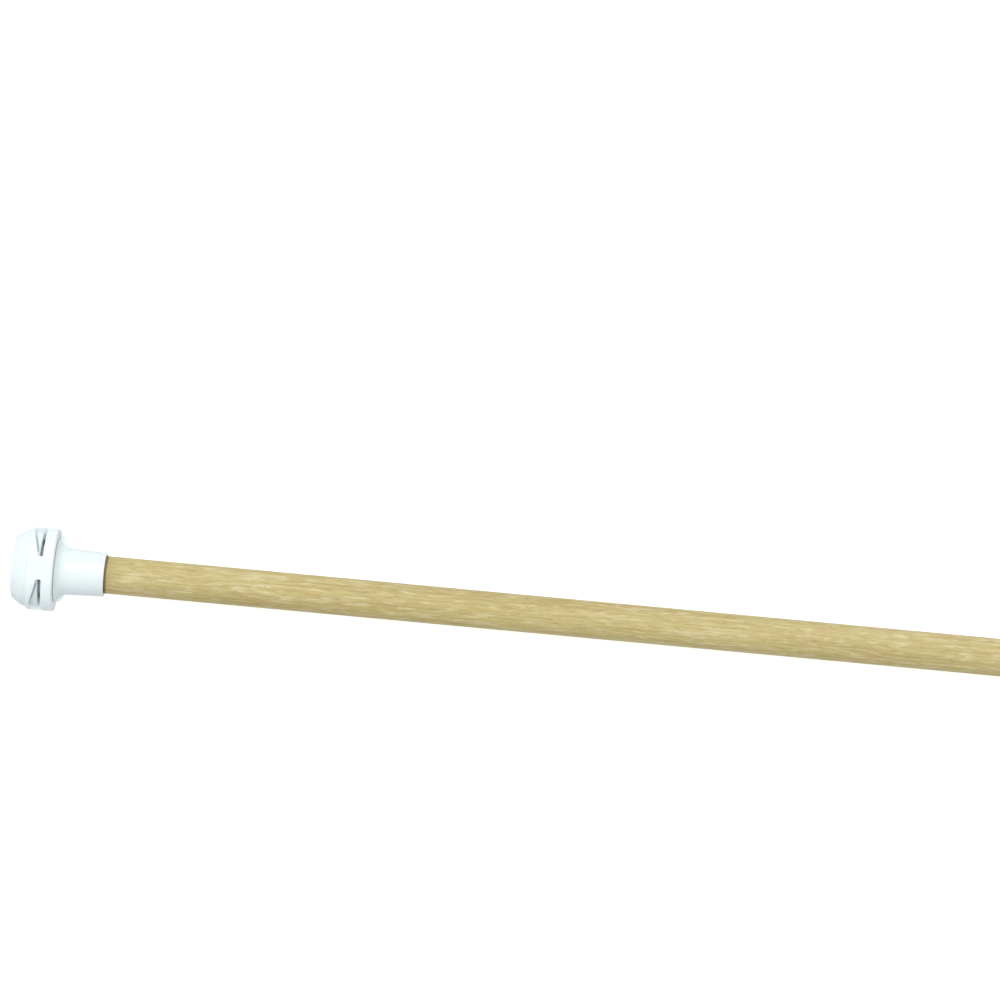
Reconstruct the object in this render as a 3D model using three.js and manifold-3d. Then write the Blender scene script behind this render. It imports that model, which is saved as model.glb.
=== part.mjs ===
// Roller extension pole: a round beech pole with a white moulded clamp head.
// Millimetres, +Z up. The pole's axis lies along X, the head is at -X.
//
// Every turned piece is drawn as a profile of (radius, a), where a is the distance
// along the axis from the socket's open mouth towards the front of the head.
// In the axis frame x = -a. The whole assembly is then lifted so that the clamp
// nut's lower flat rests on z = 0, and centred along X.
//
// Pieces: pole, socket, clamp_nut, collet, fixing_screw, screw_washer.
import * as THREE from 'three';
import { mergeVertices } from 'three/addons/utils/BufferGeometryUtils.js';
import Module from 'manifold-3d';

const wasm = await Module();
wasm.setup();

// ---------------------------------------------------------------- dimensions
const SEG = 36; // facets round a turned piece
const POLE_R = 12.5; // 25 mm dowel
const POLE_SEEN = 1200; // bare pole from the socket's mouth to its far end
const POLE_END = 28.0; // the pole's end inside the socket
const PILOT_R = 2.9; // hole for the fixing screw
const PILOT_END = -5.0;

const SOCKET_BORE_R = 12.8;
const SOCKET_MOUTH_R = 14.6; // outside of the sleeve at its mouth
const SOCKET_ROOT_R = 15.8; // outside of the sleeve where the flare starts
const FLOOR_REAR = 28.3; // floor between the pole's end and the screw's washer
const FLOOR_FRONT = 32.3;
const FLARE_REAR = 26.6; // the sleeve flares out behind the clamp nut
const FLARE_R = 21.0;
const SPIGOT_ROOT_R = 17.5; // threaded spigot
const SPIGOT_CREST_R = 19.5;
const SPIGOT_FRONT = 53.3;
const SCREW_WELL_R = 11.0; // well for the screw's head behind the collet
const TAPER_REAR = 38.2; // where the collet's taper seat starts
const TAPER_REAR_R = 12.75;
const TAPER_FRONT_R = 15.0;
const FIN_HIGH_R = 24.3; // tall holding fin on the flare, at +Y
const FIN_LOW_R = 20.8; // low one opposite, at -Y
const FIN_REAR = 26.0;
const FIN_T = 3.0;

const PITCH = 5.0; // thread pitch, right hand
const THREAD_FRONT = 50.6; // centre of the spigot thread's first turn
const THREAD_TURNS = 3.2;
const NUT_THREAD_FRONT = 38.5; // the nut's thread runs from here
const NUT_THREAD_REAR = 34.3; // back to here
const NUT_CREST_R = 18.1;
const STEP_DEG = 15;

const NUT_REAR = 32.7;
const NUT_RING_R = 28.8; // round part of the nut's ring
const NUT_FLAT_R = 27.5; // its four flats, measured from the axis
const NUT_RING_FRONT = 50.0;
const NUT_FRONT = 61.0;
const NUT_BORE_R = 20.0;
const NUT_MOUTH_R = 13.2;
const NUT_LIP_R = 14.0; // lip that snaps into the collet's groove
const WINDOW_REAR = 39.8;
const WINDOW_FRONT = 47.9;
const WINDOW_TIP = 3.2; // width of the window's narrow end
const WINDOW_HALF_DEG = 29;
const CORE_R = 25.4; // core that floors the windows, in front of a slot
const CORE_REAR = 42.2;

const COLLET_REAR = 38.6;
const COLLET_FRONT = 59.8;
const COLLET_BORE_R = 10.0;
const COLLET_SLITS = 6;
const SLIT_W = 1.2;
const SLIT_REAR = 43.0;
const KEY_W = 2.2;
const KEY_R = 15.6;
const KEYWAY_W = 3.0;
const KEYWAY_R = 16.1;

const WASHER_R = 6.5;
const WASHER_HOLE_R = 2.75;
const SCREW_R = 2.4;
const SCREW_ROOT_R = 1.75;
const SCREW_HEAD_R = 4.6;
const SCREW_TIP = -3.6;

const AXIS_HEIGHT = NUT_FLAT_R; // the lower flat rests on z = 0
const CENTRE_X = (NUT_FRONT - POLE_SEEN) / 2; // half-way along the assembly

// ------------------------------------------------------------------ helpers
// a closed three.js geometry as a solid, with its faces turned outwards
function solid(geometry) {
  let g = geometry.index ? geometry.toNonIndexed() : geometry.clone();
  for (const name of Object.keys(g.attributes)) if (name !== 'position') g.deleteAttribute(name);
  g = mergeVertices(g, 1e-4);
  const p = g.attributes.position.array;
  const all = g.index.array;
  let tris = [];
  for (let i = 0; i < all.length; i += 3) {
    const [a, b, c] = [all[i], all[i + 1], all[i + 2]];
    if (a !== b && b !== c && a !== c) tris.push([a, b, c]);
  }
  let volume = 0;
  const v = (i) => new THREE.Vector3(p[3 * i], p[3 * i + 1], p[3 * i + 2]);
  for (const [a, b, c] of tris) volume += v(a).dot(v(b).cross(v(c)));
  if (volume < 0) tris = tris.map(([a, b, c]) => [a, c, b]);
  return new wasm.Manifold(new wasm.Mesh({
    numProp: 3,
    vertProperties: new Float32Array(p),
    triVerts: new Uint32Array(tris.flat()),
  }));
}

// a closed profile of [radius, a] turned about the axis
function turned(profile, segments = SEG) {
  const points = profile.map(([r, a]) => new THREE.Vector2(r, a));
  const open = profile[0][0] === 0 && profile[profile.length - 1][0] === 0;
  if (!open) points.push(points[0].clone());
  const g = new THREE.LatheGeometry(points, segments);
  g.rotateZ(Math.PI / 2); // the lathe's own axis, Y, becomes -X
  return solid(g);
}

// a block on the axis frame, centred on radius r, with its width across it
function block(a0, a1, r0, r1, width, deg) {
  const g = new THREE.BoxGeometry(a1 - a0, r1 - r0, width);
  g.translate(-(a0 + a1) / 2, (r0 + r1) / 2, 0);
  g.rotateX(THREE.MathUtils.degToRad(deg));
  return solid(g);
}

// a thread: a trapezoid ridge wound along a right-hand helix about +X.
// The ridge's centre is at a = front - PITCH * turns.
function thread(front, turnsStart, turnsEnd, rBase, rCrest, halfBase, halfCrest) {
  const section = new THREE.Shape([
    new THREE.Vector2(rBase, -halfBase),
    new THREE.Vector2(rCrest, -halfCrest),
    new THREE.Vector2(rCrest, halfCrest),
    new THREE.Vector2(rBase, halfBase),
  ]);
  const turns = turnsEnd - turnsStart;
  const steps = Math.round((turns * 360) / STEP_DEG);
  const g = new THREE.ExtrudeGeometry(section, { depth: 1, steps, bevelEnabled: false });
  const pos = g.attributes.position;
  const fade = 30 / 360 / turns; // the ridge runs out over the last 30 degrees
  for (let i = 0; i < pos.count; i++) {
    const t = pos.getZ(i);
    const n = turnsStart + turns * t;
    const height = Math.min(1, 0.12 + 0.88 * Math.min(t, 1 - t) / fade);
    const r = rBase + (pos.getX(i) - rBase) * height;
    const angle = n * 2 * Math.PI;
    pos.setXYZ(i, -(front - PITCH * n + pos.getY(i)), r * Math.cos(angle), r * Math.sin(angle));
  }
  return solid(g);
}

// a tapered window, narrow at one end and blunt at the other: its outline is drawn
// in (degrees, a) and cut radially. side says which way round the blunt end lies.
function windowCutter(centreDeg, side) {
  const h = WINDOW_HALF_DEG;
  const outline = [];
  for (let k = 0; k <= 8; k++) outline.push([-h + (2 * h * k) / 8, WINDOW_REAR]);
  outline.push([h, WINDOW_REAR + 1.4], [26.6, WINDOW_FRONT - 3.3], [24.4, WINDOW_FRONT - 1.2],
    [21, WINDOW_FRONT]);
  for (let k = 0; k <= 5; k++) {
    const t = k / 5; // the straight slanted front edge
    outline.push([14 - (14 + h) * t, WINDOW_FRONT + (WINDOW_REAR + WINDOW_TIP - WINDOW_FRONT) * t]);
  }
  const shape = new THREE.Shape(outline.map(([d, a]) => new THREE.Vector2(d, a)));
  const g = new THREE.ExtrudeGeometry(shape, { depth: 19, steps: 1, bevelEnabled: false });
  const pos = g.attributes.position;
  for (let i = 0; i < pos.count; i++) {
    const angle = THREE.MathUtils.degToRad(centreDeg + side * pos.getX(i));
    const r = 17 + pos.getZ(i);
    pos.setXYZ(i, -pos.getY(i), r * Math.cos(angle), r * Math.sin(angle));
  }
  return solid(g);
}

const root = new THREE.Group();
const axisFrame = new THREE.Group(); // x = -a, on the pole's axis
axisFrame.position.set(CENTRE_X, 0, AXIS_HEIGHT);
root.add(axisFrame);

function piece(name, manifold, color, roughness, metalness = 0) {
  const out = manifold.getMesh();
  const g = new THREE.BufferGeometry();
  const n = out.vertProperties.length / out.numProp;
  const position = new Float32Array(n * 3);
  for (let i = 0; i < n; i++) {
    for (let k = 0; k < 3; k++) position[3 * i + k] = out.vertProperties[i * out.numProp + k];
  }
  g.setAttribute('position', new THREE.BufferAttribute(position, 3));
  g.setIndex(new THREE.BufferAttribute(new Uint32Array(out.triVerts), 1));
  const mesh = new THREE.Mesh(g, new THREE.MeshStandardMaterial({ color, roughness, metalness }));
  mesh.name = name;
  axisFrame.add(mesh);
  return mesh;
}

const WHITE = 0xf2f5f5;

// --------------------------------------------------------------------- pole
// beech dowel: rounded far end, a pilot hole in the end that sits in the socket
piece('pole', turned([
  [0, -POLE_SEEN], [8.6, -POLE_SEEN], [10.9, -POLE_SEEN + 0.8], [12.0, -POLE_SEEN + 2.2],
  [POLE_R, -POLE_SEEN + 4.2], [POLE_R, POLE_END - 1.0], [POLE_R - 1.0, POLE_END],
  [PILOT_R, POLE_END], [PILOT_R, PILOT_END + 1.6], [0, PILOT_END],
]), 0xc9b584, 0.6);

// ------------------------------------------------------------------- socket
// tapered sleeve with a flared end, floor and threaded spigot in one moulding
{
  let s = turned([
    [13.2, 0], [SOCKET_MOUTH_R - 0.3, 0], [SOCKET_MOUTH_R, 0.4],
    [SOCKET_ROOT_R, FLARE_REAR], [16.4, FLARE_REAR + 1.9], [17.7, FLARE_REAR + 3.5],
    [19.6, FLARE_REAR + 4.5], [FLARE_R, FLOOR_FRONT - 0.6], [FLARE_R, FLOOR_FRONT],
    [SPIGOT_ROOT_R, FLOOR_FRONT],
    [SPIGOT_ROOT_R, SPIGOT_FRONT - 0.7], [SPIGOT_ROOT_R - 0.7, SPIGOT_FRONT],
    [TAPER_FRONT_R, SPIGOT_FRONT], [TAPER_REAR_R, TAPER_REAR], [SCREW_WELL_R, TAPER_REAR],
    [SCREW_WELL_R, FLOOR_FRONT], [PILOT_R, FLOOR_FRONT], [PILOT_R, FLOOR_REAR],
    [SOCKET_BORE_R, FLOOR_REAR], [SOCKET_BORE_R, 0.5],
  ]);
  s = s.add(thread(THREAD_FRONT, 0, THREAD_TURNS, 16.9, SPIGOT_CREST_R, 1.25, 0.7));
  // two holding fins, drawn flat as (radius, a) and turned onto the axis frame
  for (const [r, turn] of [[FIN_HIGH_R, 0], [FIN_LOW_R, Math.PI]]) {
    const rise = (r - 15) * 0.36; // the rear edge leans forward as it rises
    const fin = new THREE.Shape([
      [14.9, FIN_REAR], [15.7, FIN_REAR], [r - 1.6, FIN_REAR + rise], [r - 0.5, FIN_REAR + rise + 0.8],
      [r, FIN_REAR + rise + 1.9], [r, FLOOR_FRONT - 0.5], [r - 0.5, FLOOR_FRONT], [14.9, FLOOR_FRONT],
    ].map(([q, a]) => new THREE.Vector2(-a, q)));
    const g = new THREE.ExtrudeGeometry(fin, { depth: FIN_T, bevelEnabled: false });
    g.translate(0, 0, -FIN_T / 2);
    g.rotateX(turn);
    s = s.add(solid(g));
  }
  // keyway for the collet
  s = s.subtract(block(TAPER_REAR, SPIGOT_FRONT + 2, 11.5, KEYWAY_R, KEYWAY_W, 90));
  piece('socket', s, WHITE, 0.35);
}

// ---------------------------------------------------------------- clamp nut
// ring with four flats and four tapered windows over a core, threaded collar, tapered nose
{
  let n = turned([
    [NUT_BORE_R + 0.8, NUT_REAR], [NUT_RING_R - 1.2, NUT_REAR], [NUT_RING_R, NUT_REAR + 1.2],
    [NUT_RING_R, NUT_RING_FRONT - 1.0], [NUT_RING_R - 1.0, NUT_RING_FRONT],
    [26.4, NUT_RING_FRONT], [26.0, NUT_RING_FRONT + 0.5],
    [22.7, NUT_FRONT - 2.6], [21.6, NUT_FRONT - 0.9], [19.8, NUT_FRONT],
    [NUT_MOUTH_R + 1.0, NUT_FRONT], [NUT_MOUTH_R, NUT_FRONT - 1.0], [NUT_MOUTH_R, 59.0],
    [16.2, 56.6], [16.2, 54.8], [NUT_LIP_R, 54.8], [NUT_LIP_R, 53.8], [NUT_BORE_R, 53.8],
    [NUT_BORE_R, NUT_REAR + 0.8],
  ]);
  const half = THREAD_FRONT - PITCH / 2; // the nut's ridge runs midway between the spigot's
  n = n.add(thread(half, (half - NUT_THREAD_FRONT) / PITCH, (half - NUT_THREAD_REAR) / PITCH,
    20.6, NUT_CREST_R, 1.25, 0.7));
  for (let k = 0; k < 4; k++) {
    n = n.subtract(block(NUT_REAR - 1, NUT_RING_FRONT + 0.45, NUT_FLAT_R, NUT_RING_R + 4, 26, 90 * k));
    n = n.subtract(windowCutter(45 + 90 * k, k % 2 === 0 ? -1 : 1));
  }
  // the core floors the windows, and leaves a slot along their rear edges
  n = n.add(turned([
    [NUT_BORE_R + 0.4, CORE_REAR], [CORE_R, CORE_REAR], [CORE_R, NUT_RING_FRONT - 0.8],
    [NUT_BORE_R + 0.4, NUT_RING_FRONT - 0.8],
  ]));
  piece('clamp_nut', n, WHITE, 0.35);
}

// ------------------------------------------------------------------- collet
// split gripping sleeve: rear taper, snap groove, front cone, six slits, key
{
  let c = turned([
    [COLLET_BORE_R, COLLET_REAR], [12.1, COLLET_REAR], [12.4, COLLET_REAR + 0.3], [14.5, 53.0],
    [14.5, 53.4], [13.6, 53.4], [13.6, 55.15], [15.8, 55.15], [15.8, 56.3], [12.85, 58.65],
    [12.85, COLLET_FRONT - 0.4], [12.4, COLLET_FRONT], [COLLET_BORE_R + 0.8, COLLET_FRONT],
    [COLLET_BORE_R, COLLET_FRONT - 0.8],
  ]);
  c = c.add(block(COLLET_REAR + 1.2, 51.8, 11.6, KEY_R, KEY_W, 90));
  for (let k = 0; k < COLLET_SLITS; k++) {
    c = c.subtract(block(SLIT_REAR, COLLET_FRONT + 2, 8, 18, SLIT_W, (360 / COLLET_SLITS) * k));
  }
  piece('collet', c, 0xe9eced, 0.4);
}

// ------------------------------------------------- fixing screw and washer
{
  const rings = [];
  for (let a = 20; a > SCREW_TIP + 4.4; a -= 2.4) {
    rings.push([SCREW_ROOT_R, a], [SCREW_R, a - 0.9], [SCREW_R, a - 1.2], [SCREW_ROOT_R, a - 2.1]);
  }
  let w = turned([
    [0, 37.2], [2.6, 37.1], [3.8, 36.6], [SCREW_HEAD_R, 35.5], [SCREW_HEAD_R, 34.3],
    [SCREW_HEAD_R - 0.2, 34.1], [SCREW_R, 34.1], [SCREW_R, 22], ...rings,
    [SCREW_ROOT_R * 0.8, SCREW_TIP + 1.2], [0, SCREW_TIP],
  ], 16);
  w = w.subtract(block(35.3, 38, -2.5, 2.5, 0.9, 0)).subtract(block(35.3, 38, -2.5, 2.5, 0.9, 90));
  piece('fixing_screw', w, 0xa9adb2, 0.35, 0.9);
  piece('screw_washer', turned([
    [WASHER_HOLE_R, 32.6], [WASHER_R - 0.2, 32.6], [WASHER_R, 32.8], [WASHER_R, 33.6],
    [WASHER_R - 0.2, 33.8], [WASHER_HOLE_R, 33.8],
  ], 24), 0xb4b8bc, 0.35, 0.9);
}

export default root;
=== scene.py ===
import math

import bmesh
import bpy
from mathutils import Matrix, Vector


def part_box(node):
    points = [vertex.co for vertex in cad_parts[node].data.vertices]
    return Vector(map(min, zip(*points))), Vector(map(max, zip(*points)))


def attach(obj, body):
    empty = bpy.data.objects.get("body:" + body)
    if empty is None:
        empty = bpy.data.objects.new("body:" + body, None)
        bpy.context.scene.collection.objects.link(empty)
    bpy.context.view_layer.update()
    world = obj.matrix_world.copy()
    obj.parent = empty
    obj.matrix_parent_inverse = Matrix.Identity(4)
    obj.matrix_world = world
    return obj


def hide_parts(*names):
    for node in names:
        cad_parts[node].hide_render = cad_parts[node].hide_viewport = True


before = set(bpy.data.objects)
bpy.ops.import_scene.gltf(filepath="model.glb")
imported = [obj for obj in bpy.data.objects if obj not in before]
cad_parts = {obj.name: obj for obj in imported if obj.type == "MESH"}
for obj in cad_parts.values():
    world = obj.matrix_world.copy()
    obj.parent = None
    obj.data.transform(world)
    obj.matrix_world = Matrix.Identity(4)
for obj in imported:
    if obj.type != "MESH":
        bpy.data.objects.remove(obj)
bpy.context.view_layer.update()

MM = 0.001
COLL = bpy.context.scene.collection

# The axis frame: a is the distance in mm along the pole's axis from the socket's
# mouth towards the front of the head, r the radius. The mouth, the axis height and
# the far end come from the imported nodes.
SOCKET_LO, SOCKET_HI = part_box("socket")
POLE_LO, POLE_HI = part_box("pole")
NUT_LO, NUT_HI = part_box("clamp_nut")
MOUTH_X = SOCKET_HI.x if hasattr(SOCKET_HI, "x") else SOCKET_HI[0]
FAR_X = POLE_HI[0]
AXIS_Z = (POLE_LO[2] + POLE_HI[2]) / 2
FAR_A = -(FAR_X - MOUTH_X) / MM  # about -1200

# the same driving dimensions as the CAD, in mm
RING_R, FLAT_R = 28.8, 27.5
WINDOW_REAR, WINDOW_FRONT, WINDOW_HALF, WINDOW_TIP = 39.8, 47.9, 29.0, 3.2
PITCH, THREAD_FRONT, THREAD_TURNS = 5.0, 50.6, 3.2


def at(a, r=0.0, deg=0.0):
    """The point at a and r, turned by deg about +X from +Y, in metres in the row frame."""
    t = math.radians(deg)
    return Vector((MOUTH_X - a * MM, r * math.cos(t) * MM, AXIS_Z + r * math.sin(t) * MM))


# ------------------------------------------------------------------ mesh helpers
def fillet(points, closed=True, steps=5):
    """points are (x, y, radius): each corner is replaced by an arc of that radius."""
    out = []
    n = len(points)
    for i, (x, y, rad) in enumerate(points):
        if rad <= 0 or (not closed and i in (0, n - 1)):
            out.append((x, y))
            continue
        p = Vector((x, y))
        a = Vector(points[i - 1][:2]) - p
        b = Vector(points[(i + 1) % n][:2]) - p
        la, lb = a.length, b.length
        a.normalize()
        b.normalize()
        half = math.acos(max(-1.0, min(1.0, a.dot(b)))) / 2
        if half > math.radians(88.5) or half < 0.02:
            out.append((x, y))
            continue
        cut = min(rad / math.tan(half), 0.48 * la, 0.48 * lb)
        rad = cut * math.tan(half)
        centre = p + (a + b).normalized() * (rad / math.sin(half))
        s, e = p + a * cut - centre, p + b * cut - centre
        turn = math.atan2(s.x * e.y - s.y * e.x, s.dot(e))
        for k in range(steps + 1):
            t = turn * k / steps
            out.append(
                (
                    centre.x + s.x * math.cos(t) - s.y * math.sin(t),
                    centre.y + s.x * math.sin(t) + s.y * math.cos(t),
                )
            )
    return out


def new_object(name, verts, faces):
    me = bpy.data.meshes.new(name)
    me.from_pydata([tuple(v) for v in verts], [], faces)
    me.validate()
    bm = bmesh.new()
    bm.from_mesh(me)
    bmesh.ops.remove_doubles(bm, verts=bm.verts, dist=1e-7)
    bmesh.ops.recalc_face_normals(bm, faces=bm.faces)
    if bm.calc_volume(signed=True) < 0:
        bmesh.ops.reverse_faces(bm, faces=bm.faces)
    bm.to_mesh(me)
    bm.free()
    ob = bpy.data.objects.new(name, me)
    COLL.objects.link(ob)
    return ob


def lathe(name, profile, segs=192, radius=None):
    """A closed profile of (r, a) in mm turned about the axis. radius(r, a, deg) may change r."""
    verts, faces = [], []
    ring_of = []
    for r, a in profile:
        if r < 1e-6:
            ring_of.append([len(verts)] * segs)
            verts.append(at(a))
            continue
        ids = []
        for k in range(segs):
            deg = 360.0 * k / segs
            rr = radius(r, a, deg) if radius else r
            ids.append(len(verts))
            verts.append(at(a, rr, deg))
        ring_of.append(ids)
    n = len(profile)
    open_on_axis = profile[0][0] < 1e-6 and profile[-1][0] < 1e-6
    for i in range(n - 1 if open_on_axis else n):
        one, two = ring_of[i], ring_of[(i + 1) % n]
        for k in range(segs):
            m = (k + 1) % segs
            loop = []
            for v in (one[k], one[m], two[m], two[k]):
                if v not in loop:
                    loop.append(v)
            if len(loop) > 2:
                faces.append(loop)
    return new_object(name, verts, faces)


def loft(name, rings):
    """A closed skin through rings of as many points each, capped at both ends."""
    verts = [p for ring in rings for p in ring]
    m = len(rings[0])
    faces = []
    for i in range(len(rings) - 1):
        for k in range(m):
            q = (k + 1) % m
            faces.append([i * m + k, i * m + q, (i + 1) * m + q, (i + 1) * m + k])
    faces.append(list(range(m))[::-1])
    faces.append([(len(rings) - 1) * m + k for k in range(m)])
    return new_object(name, verts, faces)


def thread(name, front, start, end, r_base, r_crest, half_base, half_crest, per_turn=60):
    """A right-hand ridge whose centre is at a = front - PITCH * turns, fading out at both ends."""
    section = fillet(
        [
            (r_base, -half_base, 0),
            (r_crest, -half_crest, 0.45),
            (r_crest, half_crest, 0.45),
            (r_base, half_base, 0),
        ],
        steps=4,
    )
    turns = end - start
    steps = round(turns * per_turn)
    fade = 30 / 360 / turns
    rings = []
    for i in range(steps + 1):
        t = i / steps
        n = start + turns * t
        high = min(1.0, 0.12 + 0.88 * min(t, 1 - t) / fade)
        rings.append(
            [at(front - PITCH * n + y, r_base + (r - r_base) * high, n * 360) for r, y in section]
        )
    return loft(name, rings)


def window_cutter(name, centre, side):
    """The tapered window, with a rounded lip where it meets the ring's outside."""
    k = math.radians(1) * RING_R  # mm of arc for a degree
    h = WINDOW_HALF
    outline = fillet(
        [
            (-h * k, WINDOW_REAR, 0.6),
            (h * k, WINDOW_REAR, 0.7),
            (h * k, WINDOW_REAR + 1.4, 1.0),
            (26.6 * k, WINDOW_FRONT - 3.3, 3.0),
            (24.4 * k, WINDOW_FRONT - 1.2, 2.0),
            (21 * k, WINDOW_FRONT, 2.0),
            (14 * k, WINDOW_FRONT, 3.0),
            (-h * k, WINDOW_REAR + WINDOW_TIP, 0.7),
        ],
        steps=6,
    )
    # spread points along the long straight edges
    dense = []
    for i, p in enumerate(outline):
        q = outline[(i + 1) % len(outline)]
        d = math.hypot(q[0] - p[0], q[1] - p[1])
        parts = max(1, int(d / 0.8))
        for j in range(parts):
            dense.append((p[0] + (q[0] - p[0]) * j / parts, p[1] + (q[1] - p[1]) * j / parts))
    m = len(dense)
    area = sum(
        dense[i][0] * dense[(i + 1) % m][1] - dense[(i + 1) % m][0] * dense[i][1] for i in range(m)
    )
    sign = 1 if area > 0 else -1
    normals = []
    for i in range(m):
        ax, ay = dense[i - 1]
        bx, by = dense[(i + 1) % m]
        tx, ty = bx - ax, by - ay
        ln = math.hypot(tx, ty) or 1
        normals.append((sign * ty / ln, -sign * tx / ln))
    lip = 0.6
    layers = [(16.5, 0.0), (RING_R - lip, 0.0)]
    for j in range(1, 7):
        t = math.radians(15 * j)
        layers.append((RING_R - lip + lip * math.sin(t), lip * (1 - math.cos(t))))
    layers += [(RING_R + 1.6, lip + 1.6), (37.0, lip + 1.6)]
    rings = []
    for r, off in layers:
        ring = []
        for (s, a), (nx, ny) in zip(dense, normals):
            ring.append(at(a + ny * off, r, centre + side * (s + nx * off) / k))
        rings.append(ring)
    return loft(name, rings)


def block(name, a0, a1, r0, r1, width, deg, bevel=0.0):
    """A block on the axis frame, its width across the direction deg."""
    t = math.radians(deg)
    out = Vector((0, math.cos(t), math.sin(t)))
    side = Vector((0, -math.sin(t), math.cos(t)))
    base = at(0)
    verts = []
    for a in (a0, a1):
        for r in (r0, r1):
            for w in (-width / 2, width / 2):
                verts.append(base + Vector((-a * MM, 0, 0)) + out * r * MM + side * w * MM)
    faces = [[0, 1, 3, 2], [4, 6, 7, 5], [0, 4, 5, 1], [2, 3, 7, 6], [0, 2, 6, 4], [1, 5, 7, 3]]
    ob = new_object(name, verts, faces)
    if bevel:
        bm = bmesh.new()
        bm.from_mesh(ob.data)
        bmesh.ops.bevel(
            bm, geom=bm.edges[:], offset=bevel * MM, segments=3, profile=0.5, affect="EDGES"
        )
        bm.to_mesh(ob.data)
        bm.free()
    return ob


def fin(name, deg, top):
    """A holding fin with rounded edges."""
    rise = (top - 15) * 0.36
    flat = fillet(
        [(14.9, 26.0, 0), (15.7, 26.0, 0.8), (top - 0.8, 26.4 + rise, 1.4),
         (top, 27.9 + rise, 1.4), (top, 32.2, 0.7), (14.9, 32.2, 0)],
        steps=6,
    )
    t = math.radians(deg)
    out = Vector((0, math.cos(t), math.sin(t)))
    side = Vector((0, -math.sin(t), math.cos(t)))
    cx = sum(p[0] for p in flat) / len(flat)
    cy = sum(p[1] for p in flat) / len(flat)
    rings = []
    half, lip = 1.5, 0.6
    for w, inset in [(-half, lip), (-half + 0.18, 0.23), (-half + lip, 0.0),
                     (half - lip, 0.0), (half - 0.18, 0.23), (half, lip)]:
        ring = []
        for r, a in flat:
            d = math.hypot(r - cx, a - cy) or 1
            k = max(0.0, 1 - inset / d)
            # the root stays full, so that it reaches into the sleeve
            rr = cx + (r - cx) * k if r > 15.5 else r
            aa = cy + (a - cy) * k
            ring.append(at(aa) + out * rr * MM + side * w * MM)
        rings.append(ring)
    return loft(name, rings)


def boolean(ob, tool, operation):
    mod = ob.modifiers.new("cut", "BOOLEAN")
    mod.operation = operation
    mod.object = tool
    mod.solver = "EXACT"
    deps = bpy.context.evaluated_depsgraph_get()
    me = bpy.data.meshes.new_from_object(ob.evaluated_get(deps))
    ob.modifiers.remove(mod)
    old = ob.data
    ob.data = me
    me.name = ob.name
    bpy.data.meshes.remove(old)
    data = tool.data
    bpy.data.objects.remove(tool)
    bpy.data.meshes.remove(data)
    return ob


def smooth(ob, degrees=32):
    bm = bmesh.new()
    bm.from_mesh(ob.data)
    bmesh.ops.remove_doubles(bm, verts=bm.verts, dist=2e-6)
    bmesh.ops.dissolve_degenerate(bm, dist=1e-6, edges=bm.edges)
    bm.to_mesh(ob.data)
    bm.free()
    for p in ob.data.polygons:
        p.use_smooth = True
    ob.data.set_sharp_from_angle(angle=math.radians(degrees))
    mod = ob.modifiers.new("weighted", "WEIGHTED_NORMAL")
    mod.keep_sharp = True
    mod.weight = 60
    return ob


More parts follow.
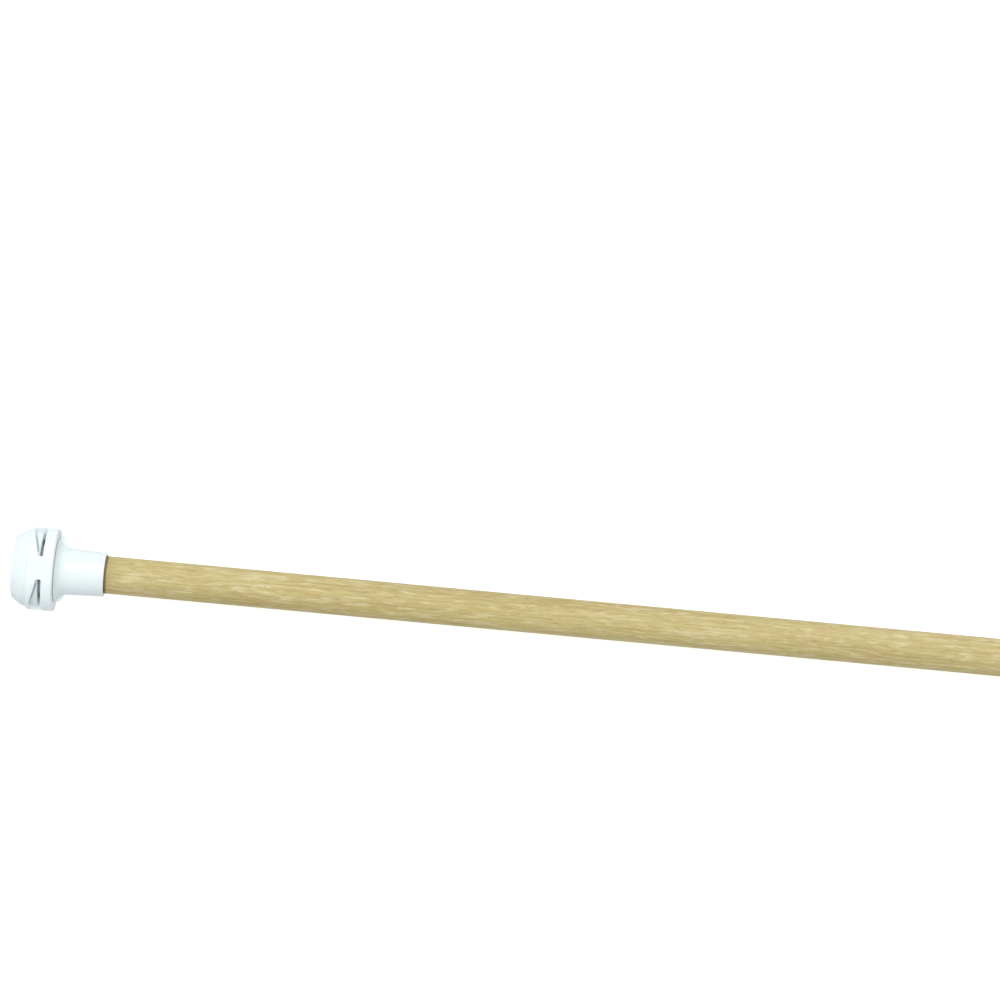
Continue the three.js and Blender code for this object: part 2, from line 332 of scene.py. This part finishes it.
# --------------------------------------------------------------------- materials
class Tree:
    def __init__(self, name):
        self.mat = bpy.data.materials.new(name)
        self.mat.use_nodes = True
        self.nodes, self.links = self.mat.node_tree.nodes, self.mat.node_tree.links
        self.bsdf = self.nodes["Principled BSDF"]
        self.coord = self.nodes.new("ShaderNodeTexCoord").outputs["Object"]

    def link(self, a, b):
        self.links.new(a, b)

    def node(self, kind, **values):
        n = self.nodes.new(kind)
        for k, v in values.items():
            setattr(n, k, v)
        return n

    def mapped(self, scale=(1, 1, 1), offset=(0, 0, 0)):
        n = self.node("ShaderNodeMapping")
        n.inputs["Scale"].default_value = scale
        n.inputs["Location"].default_value = offset
        self.link(self.coord, n.inputs["Vector"])
        return n.outputs["Vector"]

    def noise(self, vector, scale, detail=3.0, rough=0.5, distortion=0.0):
        n = self.node("ShaderNodeTexNoise")
        n.inputs["Scale"].default_value = scale
        n.inputs["Detail"].default_value = detail
        n.inputs["Roughness"].default_value = rough
        n.inputs["Distortion"].default_value = distortion
        self.link(vector, n.inputs["Vector"])
        return n.outputs["Fac"]

    def ramp(self, value, *stops):
        n = self.node("ShaderNodeValToRGB")
        el = n.color_ramp.elements
        while len(el) < len(stops):
            el.new(0.5)
        for e, (pos, col) in zip(el, stops):
            e.position = pos
            e.color = (*col, 1) if isinstance(col, tuple) else (col, col, col, 1)
        self.link(value, n.inputs["Fac"])
        return n.outputs["Color"]

    def span(self, value, low, high, to_low=0.0, to_high=1.0, kind="SMOOTHSTEP"):
        n = self.node("ShaderNodeMapRange", interpolation_type=kind)
        n.inputs["From Min"].default_value = low
        n.inputs["From Max"].default_value = high
        n.inputs["To Min"].default_value = to_low
        n.inputs["To Max"].default_value = to_high
        self.link(value, n.inputs["Value"])
        return n.outputs["Result"]

    def math(self, kind, a, b=None):
        n = self.node("ShaderNodeMath", operation=kind)
        for socket, v in zip(n.inputs, (a, b)):
            if v is None:
                continue
            if isinstance(v, (int, float)):
                socket.default_value = v
            else:
                self.link(v, socket)
        return n.outputs[0]

    def mix(self, factor, a, b, blend="MIX"):
        n = self.node("ShaderNodeMix", data_type="RGBA", blend_type=blend)
        for key, v in ((0, factor), (6, a), (7, b)):
            if isinstance(v, (int, float)):
                n.inputs[key].default_value = v
            elif isinstance(v, tuple):
                n.inputs[key].default_value = (*v, 1)
            else:
                self.link(v, n.inputs[key])
        return n.outputs[2]

    def bump(self, height, strength, distance, normal=None):
        n = self.node("ShaderNodeBump")
        n.inputs["Strength"].default_value = strength
        n.inputs["Distance"].default_value = distance
        self.link(height, n.inputs["Height"])
        if normal is not None:
            self.link(normal, n.inputs["Normal"])
        return n.outputs["Normal"]

    def split(self, vector):
        n = self.node("ShaderNodeSeparateXYZ")
        self.link(vector, n.inputs[0])
        return n.outputs

    def finish(self, color=None, roughness=None, normal=None, **fixed):
        for key, v in (("Base Color", color), ("Roughness", roughness), ("Normal", normal)):
            if v is None:
                continue
            if isinstance(v, (int, float)):
                self.bsdf.inputs[key].default_value = v
            elif isinstance(v, tuple):
                self.bsdf.inputs[key].default_value = (*v, 1)
            else:
                self.link(v, self.bsdf.inputs[key])
        for k, v in fixed.items():
            self.bsdf.inputs[k.replace("_", " ")].default_value = v
        return self.mat


def beech():
    t = Tree("beech")
    # 1 mm across the pole is 1000 units of noise at scale 1000; along the grain it is stretched
    slow = t.noise(t.mapped((2.2, 55, 55)), 1.0, 3, 0.55, 0.3)  # broad bands, 10-20 mm wide
    band = t.noise(t.mapped((5, 190, 190), (3.1, 0, 0)), 1.0, 3, 0.6, 0.4)  # growth rings, 3-6 mm
    fine = t.noise(t.mapped((16, 1150, 1150), (0, 7.7, 0)), 1.0, 4, 0.62)  # streaks under 1 mm
    pores = t.noise(t.mapped((130, 2600, 2600), (0, 0, 5.3)), 1.0, 2, 0.5)  # short dark dashes
    fleck = t.noise(t.mapped((300, 1500, 1500), (9.1, 0, 0)), 1.0, 1, 0.4)
    light, mid, dark = (0.585, 0.490, 0.222), (0.520, 0.418, 0.168), (0.335, 0.240, 0.072)
    base = t.mix(t.ramp(slow, (0.35, 0.0), (0.68, 1.0)), light, mid)
    base = t.mix(t.math("MULTIPLY", t.ramp(band, (0.42, 0.0), (0.66, 1.0)), 0.34), base, dark)
    # patches that lean towards green or pink, 10-30 mm long
    patch = t.noise(t.mapped((46, 150, 150), (1.7, 0, 2.2)), 1.0, 3, 0.6)
    dash = t.noise(t.mapped((105, 640, 640), (0, 3.3, 8.1)), 1.0, 3, 0.6)  # 5-12 mm long, 1-2 mm wide
    silk = t.noise(t.mapped((80, 520, 520), (6.4, 1.1, 0)), 1.0, 2, 0.5)  # pale silky flecks
    base = t.mix(t.math("MULTIPLY", t.ramp(patch, (0.52, 0.0), (0.70, 1.0)), 0.60), base, (0.610, 0.445, 0.215))
    base = t.mix(t.math("MULTIPLY", t.ramp(patch, (0.30, 1.0), (0.47, 0.0)), 0.50), base, (0.510, 0.475, 0.190))
    base = t.mix(t.math("MULTIPLY", t.ramp(dash, (0.48, 0.0), (0.66, 1.0)), 0.42), base, (0.375, 0.275, 0.090))
    base = t.mix(t.math("MULTIPLY", t.ramp(silk, (0.52, 0.0), (0.68, 1.0)), 0.50), base, (0.740, 0.660, 0.420))
    base = t.mix(t.math("MULTIPLY", t.ramp(fine, (0.47, 0.0), (0.66, 1.0)), 0.46), base, dark)
    base = t.mix(
        t.math("MULTIPLY", t.ramp(fine, (0.30, 1.0), (0.45, 0.0)), 0.35), base, (0.66, 0.59, 0.34)
    )
    base = t.mix(
        t.math("MULTIPLY", t.ramp(pores, (0.61, 0.0), (0.71, 1.0)), 0.46), base, (0.19, 0.12, 0.045)
    )
    base = t.mix(t.math("MULTIPLY", t.ramp(fleck, (0.67, 0.0), (0.73, 1.0)), 0.36), base, (0.24, 0.155, 0.06))
    # the wood darkened where it goes into the sleeve: a painted shadow of the sleeve's lip over about 1 mm, and
    # a fainter painted shade fading out over 12 mm beside it
    x = t.split(t.coord)[0]
    wobble = t.math("MULTIPLY", t.noise(t.mapped((0, 260, 260)), 1.0, 3), 0.0010)
    edge = t.math("SUBTRACT", x, t.math("ADD", wobble, MOUTH_X - 0.0004))
    # painted shadow: the dark line right at the sleeve's mouth
    mouth_shadow = t.span(edge, 0.0006, 0.0023, 0.90, 0.0)
    base = t.mix(mouth_shadow, base, (0.085, 0.052, 0.016))
    # painted shade: the wood darker towards the sleeve's mouth over 12 mm
    mouth_shade = t.span(edge, 0.0, 0.012, 0.28, 0.0)
    base = t.mix(mouth_shade, base, (0.24, 0.165, 0.07))
    # end grain on the far end and inside the socket: growth rings about an off-centre pith
    px = t.math("SUBTRACT", t.split(t.coord)[1], 0.0046)
    pz = t.math("SUBTRACT", t.split(t.coord)[2], AXIS_Z - 0.0062)
    away = t.math("SQRT", t.math("ADD", t.math("MULTIPLY", px, px), t.math("MULTIPLY", pz, pz)))
    stray = t.math("MULTIPLY", t.noise(t.mapped((1, 1, 1), (2, 0, 3)), 170, 3, 0.5), 0.0028)
    wave = t.math("SINE", t.math("MULTIPLY", t.math("ADD", away, stray), 2 * math.pi / 0.0019))
    dots = t.noise(t.mapped((1, 1, 1), (0, 4, 1)), 2600, 2, 0.5)
    end = t.mix(t.span(wave, -0.9, 1.0), (0.420, 0.320, 0.125), (0.300, 0.212, 0.072))
    end = t.mix(t.math("MULTIPLY", t.ramp(dots, (0.58, 0.0), (0.66, 1.0)), 0.55), end, (0.16, 0.10, 0.035))
    facing = t.nodes.new("ShaderNodeTexCoord").outputs["Normal"]
    flat = t.math("ABSOLUTE", t.split(facing)[0])
    base = t.mix(t.span(flat, 0.62, 0.92), base, end)
    rough = t.span(fine, 0.3, 0.7, 0.50, 0.68, "LINEAR")
    n = t.bump(fine, 0.35, 0.00010)
    n = t.bump(t.ramp(pores, (0.58, 1.0), (0.70, 0.0)), 0.4, 0.00012, n)
    return t.finish(base, rough, n, Specular_IOR_Level=0.5)


def plastic(name, color, shade, rough_low, rough_high, sss=0.12):
    t = Tree(name)
    cloud = t.noise(t.mapped((1, 1, 1)), 95, 3, 0.5)
    peel = t.noise(t.mapped((1, 1, 1)), 1300, 3, 0.55)
    grit = t.noise(t.mapped((1, 1, 1), (4, 2, 1)), 420, 4, 0.7)
    base = t.mix(t.ramp(cloud, (0.35, 0.0), (0.70, 1.0)), color, shade)
    base = t.mix(
        t.math("MULTIPLY", t.ramp(grit, (0.70, 0.0), (0.78, 1.0)), 0.05), base,
        tuple(c * 0.62 for c in shade),
    )
    rough = t.span(cloud, 0.3, 0.7, rough_low, rough_high, "LINEAR")
    scuff = t.noise(t.mapped((260, 900, 900), (1, 5, 2)), 1.0, 3, 0.6)
    n = t.bump(peel, 0.18, 0.00006)
    n = t.bump(t.ramp(scuff, (0.60, 0.0), (0.68, 1.0)), 0.10, 0.00004, n)
    return t.finish(
        base, rough, n, Subsurface_Weight=sss, Subsurface_Scale=0.0035,
        Subsurface_Radius=(1.0, 1.0, 0.9), Specular_IOR_Level=0.5,
    )


def zinc():
    t = Tree("zinc_steel")
    brushed = t.noise(t.mapped((2600, 700, 700)), 1.0, 3, 0.6)
    patch = t.noise(t.mapped((1, 1, 1)), 500, 2, 0.5)
    base = t.mix(t.ramp(patch, (0.35, 0.0), (0.7, 1.0)), (0.60, 0.61, 0.63), (0.46, 0.47, 0.50))
    rough = t.span(brushed, 0.3, 0.7, 0.24, 0.42, "LINEAR")
    return t.finish(base, rough, t.bump(brushed, 0.15, 0.00003), Metallic=1.0)


WHITE = plastic("white_plastic", (0.800, 0.865, 0.875), (0.785, 0.852, 0.864), 0.26, 0.38, 0.50)
INNER = plastic("collet_plastic", (0.700, 0.740, 0.742), (0.670, 0.710, 0.714), 0.36, 0.48, 0.25)
BEECH = beech()
ZINC = zinc()


def dress(ob, mat, body, node):
    ob.data.materials.clear()
    ob.data.materials.append(mat)
    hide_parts(node)
    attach(ob, body)
    return ob


# -------------------------------------------------------------------------- pole
pole_profile = fillet(
    [
        (0, FAR_A, 0), (10.2, FAR_A, 2.6), (12.5, FAR_A + 4.2, 5.0), (12.5, 27.2, 0),
        (11.6, 28.0, 0), (2.9, 28.0, 0), (2.9, -3.4, 0), (0, -5.0, 0),
    ],
    closed=False,
    steps=8,
)
# rings along the length, so that the long sides aren't single slivers
full = []
for i, p in enumerate(pole_profile):
    full.append(p)
    if i + 1 < len(pole_profile):
        q = pole_profile[i + 1]
        if abs(q[1] - p[1]) > 200:
            for k in range(1, 60):
                full.append((p[0] + (q[0] - p[0]) * k / 60, p[1] + (q[1] - p[1]) * k / 60))
pole = smooth(lathe("beech_pole", full, 128), 40)
dress(pole, BEECH, "pole_assembly", "pole")

# ------------------------------------------------------------------------ socket
socket = lathe(
    "moulded_socket",
    fillet(
        [
            (12.8, 0.0, 0.35), (14.6, 0.0, 0.7), (15.8, 26.6, 12.0), (16.4, 28.5, 5.0),
            (17.7, 30.1, 4.0), (19.6, 31.1, 2.0), (21.0, 31.7, 0.4), (21.0, 32.45, 0.12),
            (17.5, 32.45, 0.6),
            (17.5, 53.3, 0.8), (15.0, 53.3, 0.4),
            (12.75, 38.2, 0), (11.0, 38.2, 0.3), (11.0, 32.3, 0.4), (2.9, 32.3, 0.2),
            (2.9, 28.3, 0), (12.8, 28.3, 0),
        ]
    ),
    180,
)
boolean(socket, thread("t", THREAD_FRONT, 0, THREAD_TURNS, 16.9, 19.5, 1.25, 0.7), "UNION")
for deg, top in ((0, 24.3), (180, 20.8)):
    boolean(socket, fin("f", deg, top), "UNION")
boolean(socket, block("k", 38.2, 55.3, 11.5, 16.1, 3.0, 90), "DIFFERENCE")
smooth(socket)
dress(socket, WHITE, "pole_assembly", "socket")


# --------------------------------------------------------------------- clamp nut
def flats(r, a, deg):
    if r < 26.5 or a > 50.4:
        return r
    off = abs((deg + 45) % 90 - 45)
    # a little rounding where a flat meets the round part
    flat = FLAT_R / math.cos(math.radians(off))
    limit = RING_R + 0.0
    soft = 0.22
    d = (flat - limit) / soft
    blended = limit - soft * math.log1p(math.exp(-d)) if d > -30 else flat
    keep = r / RING_R  # the rounded corners follow the flat inwards
    return min(r, blended - (RING_R - r) * (1.0 if keep < 1 else 0.0))


nut = lathe(
    "clamp_nut_body",
    fillet(
        [
            (20.0, 32.7, 0.6), (28.8, 32.7, 1.3), (28.8, 50.0, 1.1), (26.3, 50.0, 0.25),
            (26.1, 50.5, 0.4), (24.9, 54.6, 6.0), (22.4, 58.6, 3.2), (20.6, 61.0, 1.4),
            (13.2, 61.0, 0.9), (13.2, 59.0, 0.3), (16.2, 56.6, 0.2), (16.2, 54.8, 0),
            (14.0, 54.8, 0.3), (14.0, 53.8, 0.3), (20.0, 53.8, 0.5),
        ],
        steps=6,
    ),
    240,
    flats,
)
half_way = THREAD_FRONT - PITCH / 2
boolean(
    nut,
    thread("t", half_way, (half_way - 38.5) / PITCH, (half_way - 34.3) / PITCH, 20.6, 18.1, 1.25, 0.7),
    "UNION",
)
for k in range(4):
    boolean(nut, window_cutter("w", 45 + 90 * k, -1 if k % 2 == 0 else 1), "DIFFERENCE")
# the core floors the windows, and leaves a slot along their rear edges
core = lathe(
    "core",
    fillet([(20.4, 42.2, 0), (25.4, 42.2, 0.6), (25.4, 49.2, 0), (20.4, 49.2, 0)]),
    192,
)
boolean(nut, core, "UNION")


def groove(name, centre, side):
    """A channel in the core along the window's slanted wall: what is left beside it is a rib."""
    rings = []
    for i in range(41):
        u = -21.0 + 41.0 * i / 40
        wall = WINDOW_FRONT - (WINDOW_FRONT - WINDOW_REAR - WINDOW_TIP) * max(0.0, 14 - u) / 43
        deep = 2.0 * min(1.0, 0.25 + min(i, 40 - i) / 5)
        hi, lo = wall - 0.12, wall - 1.5
        rings.append(
            [
                at(lo, 26.6, centre + side * u), at(hi, 26.6, centre + side * u),
                at(hi, 25.4 - deep, centre + side * u), at(lo + 0.45, 25.4 - deep, centre + side * u),
            ]
        )
    return loft(name, rings)


for k in range(4):
    boolean(nut, groove("g", 45 + 90 * k, -1 if k % 2 == 0 else 1), "DIFFERENCE")
# the moulding's gate: a shallow oval dimple low on the nose
t = math.radians(154)
side = Vector((0, -math.sin(t), math.cos(t)))
gate_rings = []
for i in range(13):
    f = math.radians(-84 + 14 * i)
    x = 2.1 * math.sin(f)
    gate_rings.append(
        [
            # it leans with the nose, which narrows towards the front
            at(57.4 + x, 23.3 - 0.62 * x + 2.2 * math.cos(f) * math.cos(math.radians(15 * j)), 154)
            + side * 1.25 * math.cos(f) * math.sin(math.radians(15 * j)) * MM
            for j in range(24)
        ]
    )
gate = loft("gate", gate_rings)
boolean(nut, gate, "DIFFERENCE")
smooth(nut, 34)
dress(nut, WHITE, "nut", "clamp_nut")

# ------------------------------------------------------------------------ collet
collet = lathe(
    "split_collet",
    fillet(
        [
            (10.0, 38.6, 0.3), (12.35, 38.6, 0.4), (14.5, 53.0, 0), (14.5, 53.4, 0.2),
            (13.6, 53.4, 0.2), (13.6, 55.15, 0.2), (15.8, 55.15, 0.3), (15.8, 56.35, 0.4),
            (12.85, 58.7, 0.6), (12.85, 59.8, 0.5), (10.0, 59.8, 0.9),
        ],
        steps=5,
    ),
    144,
)
boolean(collet, block("k", 39.8, 51.8, 11.6, 15.6, 2.2, 90, 0.35), "UNION")
for k in range(6):
    boolean(collet, block("s", 43.0, 61.8, 8, 18, 1.2, 60 * k), "DIFFERENCE")
smooth(collet)
dress(collet, INNER, "gripping_collet", "collet")

# -------------------------------------------------------------- screw and washer
rings = []
a = 20.0
while a > 0.8:
    rings += [(1.75, a, 0), (2.4, a - 0.9, 0.12), (2.4, a - 1.2, 0.12), (1.75, a - 2.1, 0)]
    a -= 2.4
screw = lathe(
    "pan_head_screw",
    fillet(
        [(0, 37.2, 0), (2.6, 37.1, 0.8), (4.0, 36.5, 1.2), (4.6, 35.3, 0.8), (4.6, 34.1, 0.25),
         (2.4, 34.1, 0), (2.4, 22.0, 0), *rings, (1.4, -2.4, 0), (0, -3.6, 0)],
        closed=False,
        steps=5,
    ),
    72,
)
for deg in (0, 90):
    boolean(screw, block("x", 35.3, 38.2, -2.5, 2.5, 0.9, deg), "DIFFERENCE")
smooth(screw)
dress(screw, ZINC, "pole_assembly", "fixing_screw")

washer = smooth(
    lathe(
        "flat_washer",
        fillet([(2.75, 32.6, 0.1), (6.5, 32.6, 0.2), (6.5, 33.8, 0.3), (2.75, 33.8, 0.15)], steps=3),
        96,
    )
)
dress(washer, ZINC, "pole_assembly", "screw_washer")

# ------------------------------------------------------------------------- stage
bpy.ops.mesh.primitive_plane_add(size=12, location=(0, 0, 0))
floor = bpy.context.object
floor.name = "floor"
ft = Tree("floor")
ft.finish(
    (0.86, 0.865, 0.865), 0.9, Specular_IOR_Level=0.1,
    Emission_Color=(1.0, 1.0, 1.0, 1), Emission_Strength=0.42,
)
floor.data.materials.append(ft.mat)
# an overexposed white sweep: it is bright to look at, and throws no light back up
floor.visible_diffuse = False
floor.visible_glossy = False

# a soft box of a sky: bright from above and behind, cooler and dimmer from the front
world = bpy.data.worlds.new("studio")
bpy.context.scene.world = world
world.use_nodes = True
wn, wl = world.node_tree.nodes, world.node_tree.links
bg = wn["Background"]
way = wn.new("ShaderNodeTexCoord").outputs["Generated"]
dot = wn.new("ShaderNodeVectorMath")
dot.operation = "DOT_PRODUCT"
wl.new(way, dot.inputs[0])
dot.inputs[1].default_value = Vector((-0.08, 0.62, 0.78)).normalized()
fall = wn.new("ShaderNodeMapRange")
fall.interpolation_type = "SMOOTHSTEP"
fall.inputs["From Min"].default_value = -0.75
fall.inputs["From Max"].default_value = 0.85
fall.inputs["To Min"].default_value = 0.80
fall.inputs["To Max"].default_value = 0.99
wl.new(dot.outputs["Value"], fall.inputs["Value"])
wl.new(fall.outputs["Result"], bg.inputs["Strength"])
tint = wn.new("ShaderNodeMix")
tint.data_type = "RGBA"
tint.inputs[6].default_value = (0.95, 0.985, 1.0, 1)
tint.inputs[7].default_value = (0.985, 1.0, 1.0, 1)
cool = wn.new("ShaderNodeMapRange")
cool.inputs["From Min"].default_value = 0.80
wl.new(fall.outputs["Result"], cool.inputs["Value"])
wl.new(cool.outputs["Result"], tint.inputs[0])
wl.new(tint.outputs[2], bg.inputs["Color"])


def area(name, location, target, size, watts, color=(1, 1, 1)):
    data = bpy.data.lights.new(name, "AREA")
    data.shape = "DISK"
    data.size = size
    data.energy = watts
    data.color = color
    ob = bpy.data.objects.new(name, data)
    COLL.objects.link(ob)
    ob.location = location
    ob.rotation_euler = (Vector(target) - Vector(location)).to_track_quat("-Z", "Y").to_euler()
    return ob


area("key", (-1.0, 1.25, 2.6), (-0.2, 0, 0), 1.1, 25, (1.0, 0.995, 0.98))

# camera: a long lens high above the pole, the head at the left, the pole running
# out past the right-hand edge and a few degrees downwards
AZ, EL, FOCAL, AWAY = math.radians(5.29), math.radians(87.5), 4.3, 2.8667
cam_data = bpy.data.cameras.new("camera")
cam_data.sensor_width = 36.0
cam_data.lens = 36.0 * FOCAL
cam_data.clip_end = 50
cam = bpy.data.objects.new("camera", cam_data)
COLL.objects.link(cam)
look = Vector((-math.sin(AZ) * math.cos(EL), math.cos(AZ) * math.cos(EL), -math.sin(EL)))
right = look.cross(Vector((0, 0, 1))).normalized()
up = right.cross(look)
mouth = at(0)
u, v = (0.1055 - 0.5) / FOCAL, (0.5 - 0.5747) / FOCAL
cam.location = mouth - (look + right * u + up * v) * AWAY
cam.rotation_mode = "QUATERNION"
cam.rotation_quaternion = look.to_track_quat("-Z", "Y")
bpy.context.scene.camera = cam

scene = bpy.context.scene
scene.view_settings.view_transform = "Standard"
scene.view_settings.look = "None"
scene.view_settings.exposure = 0.0
